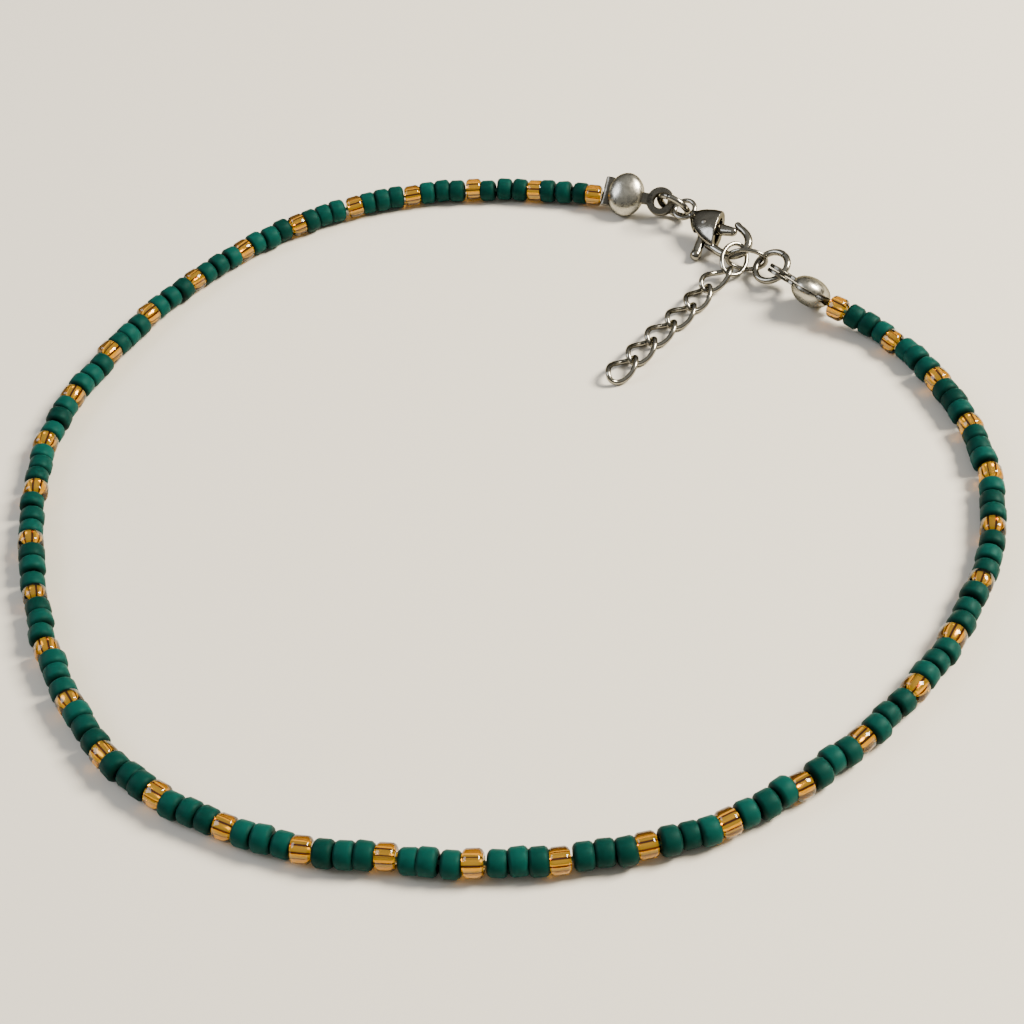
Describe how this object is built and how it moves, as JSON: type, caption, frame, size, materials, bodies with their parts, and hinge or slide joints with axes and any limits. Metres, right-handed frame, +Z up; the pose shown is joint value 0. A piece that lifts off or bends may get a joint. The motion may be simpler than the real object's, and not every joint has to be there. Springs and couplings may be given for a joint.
{
  "type": "beaded anklet",
  "caption": "Closed loop of glass seed beads with folded bead-tip covers, a lobster clasp and a short extension chain, lying flat.",
  "frame": {"origin": "Middle of the anklet's footprint, on the surface that it lies on.", "axes": "+Z up out of the surface. -Y points from the closure across the loop to the far beads, +X to the side with the extension chain's cover."},
  "size_m": [0.0862, 0.0846, 0.0038],
  "materials": {
    "teal_glass": "frosted",
    "amber_glass": "clear with a silvered hole",
    "steel": "polished",
    "dark_steel": "satin"
  },
  "bodies": {
    "anklet": {"bead_string": "teal_glass", "clamshell_left": "steel", "clamshell_right": "steel", "jump_ring_clasp": "steel", "jump_ring_chain": "steel", "clasp_body": "steel", "clasp_pin": "dark_steel", "link_hook": "steel", "link_ring": "steel", "curb_link_1": "steel", "curb_link_2": "steel", "curb_link_3": "steel", "curb_link_4": "steel", "curb_link_5": "steel", "curb_link_6": "steel"},
    "lever": {"clasp_lever": "steel"}
  },
  "joints": [
    {"name": "lever_swing", "type": "hinge", "parent": "anklet", "child": "lever", "pos_m": [-0.00154, 0.03956, 0.00186], "axis": [0.0899, 0.397, -0.9134], "range_deg": [0, 22], "stiffness_Nm_per_rad": 0.002, "springref_deg": -11.46}
  ]
}
